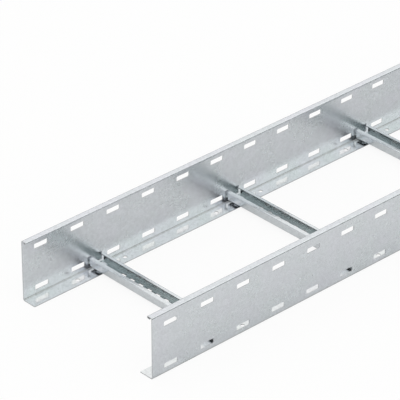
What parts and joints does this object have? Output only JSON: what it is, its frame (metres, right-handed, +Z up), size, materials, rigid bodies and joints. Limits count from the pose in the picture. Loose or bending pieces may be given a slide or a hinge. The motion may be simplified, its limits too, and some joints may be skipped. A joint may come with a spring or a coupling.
{
  "type": "cable ladder section",
  "caption": "Straight section of steel cable ladder: two slotted C-shaped side rails with a rolled top edge, joined by perforated C-profile rungs that are open to the top.",
  "frame": {"origin": "middle of the ladder's length and width, on the plane of the rails' undersides", "axes": "+X along the rails, +Y across the ladder towards the left rail, +Z up, the way the rungs' openings face"},
  "size_m": [3, 0.3, 0.11],
  "materials": {
    "rail_steel": "galvanised sheet, satin",
    "rung_steel": "galvanised sheet, satin"
  },
  "bodies": {
    "root": {"side_rail_left": "rail_steel", "side_rail_right": "rail_steel", "rung_01": "rung_steel", "rung_02": "rung_steel", "rung_03": "rung_steel", "rung_04": "rung_steel", "rung_05": "rung_steel", "rung_06": "rung_steel", "rung_07": "rung_steel", "rung_08": "rung_steel", "rung_09": "rung_steel", "rung_10": "rung_steel"}
  },
  "joints": []
}
